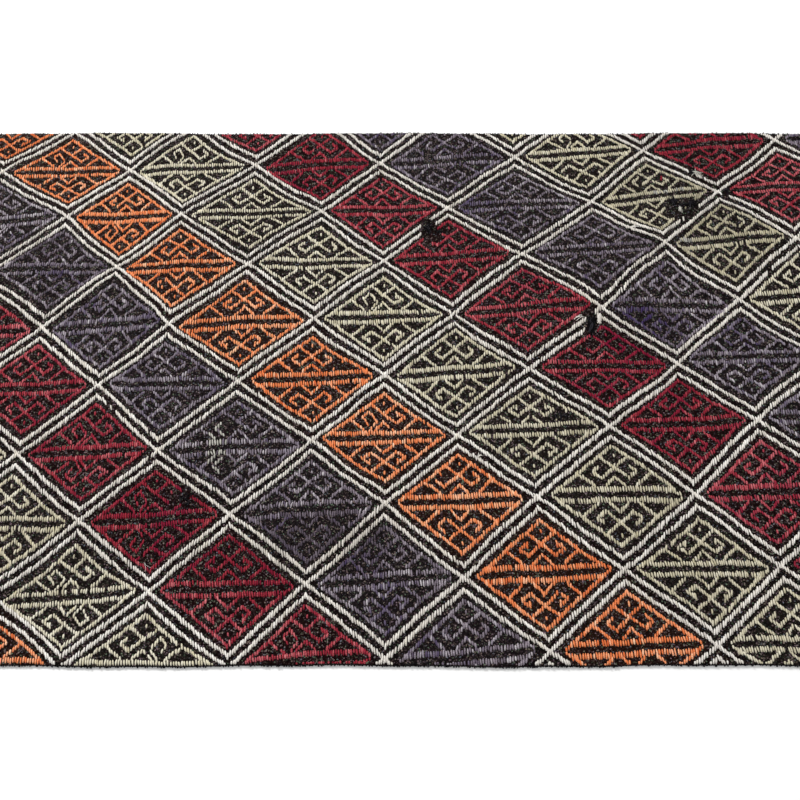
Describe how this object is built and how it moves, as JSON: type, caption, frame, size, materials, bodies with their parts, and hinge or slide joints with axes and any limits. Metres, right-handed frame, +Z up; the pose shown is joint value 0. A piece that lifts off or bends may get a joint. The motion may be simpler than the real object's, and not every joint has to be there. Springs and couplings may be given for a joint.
{
  "type": "kilim rug cloth, cut length",
  "caption": "Flat cut length of a hand-woven wool kilim with a raised lattice of double lines and barred, hooked diamonds brocaded on a dark ground.",
  "frame": {"origin": "on the surface that the cloth lies on, under the middle of the cloth", "axes": "+X along the warp and the length, +Y from the near cut edge to the far one, +Z up"},
  "size_m": [1.0022, 0.5773, 0.0075],
  "materials": {
    "kilim_wool": "hand-woven wool: near-black ground weave with ivory, orange, sage, madder red and plum brocading, matt"
  },
  "bodies": {
    "root": {"kilim_cloth": "kilim_wool"}
  },
  "joints": []
}
